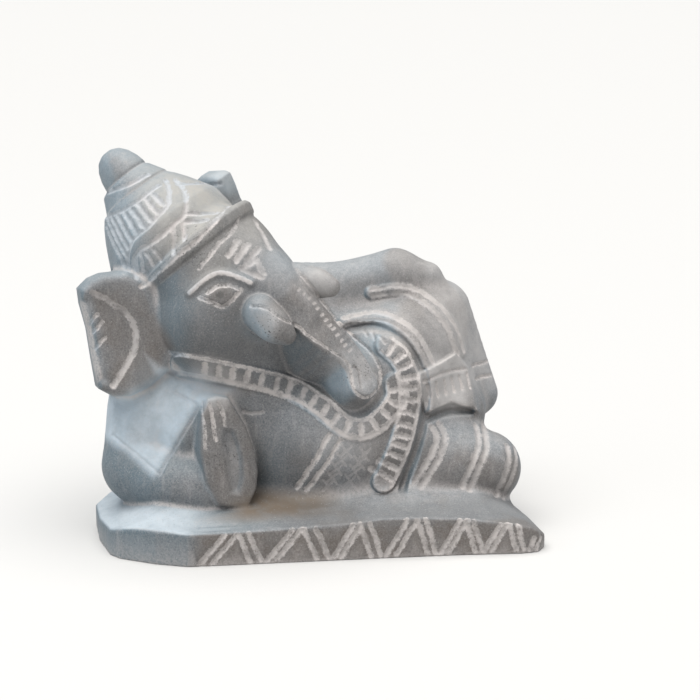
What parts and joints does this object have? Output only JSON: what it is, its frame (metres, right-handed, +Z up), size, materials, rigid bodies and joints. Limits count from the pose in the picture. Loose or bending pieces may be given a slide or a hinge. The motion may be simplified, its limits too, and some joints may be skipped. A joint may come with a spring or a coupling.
{
  "type": "reclining ganesha statue",
  "caption": "Small carved stone figure of a reclining elephant-headed deity with crown, necklace and raised palm, on a low plinth carved in one with it.",
  "frame": {"origin": "middle of the plinth's underside, under the middle of the whole piece", "axes": "+X along the plinth towards the figure's knees, +Y towards its back, +Z up"},
  "size_m": [0.1072, 0.0554, 0.0917],
  "materials": {
    "soapstone": "honed grey soapstone with paler cut lines; matte_plastic stands in, as the list has no stone"
  },
  "bodies": {
    "root": {"reclining_ganesha": "soapstone"}
  },
  "joints": []
}
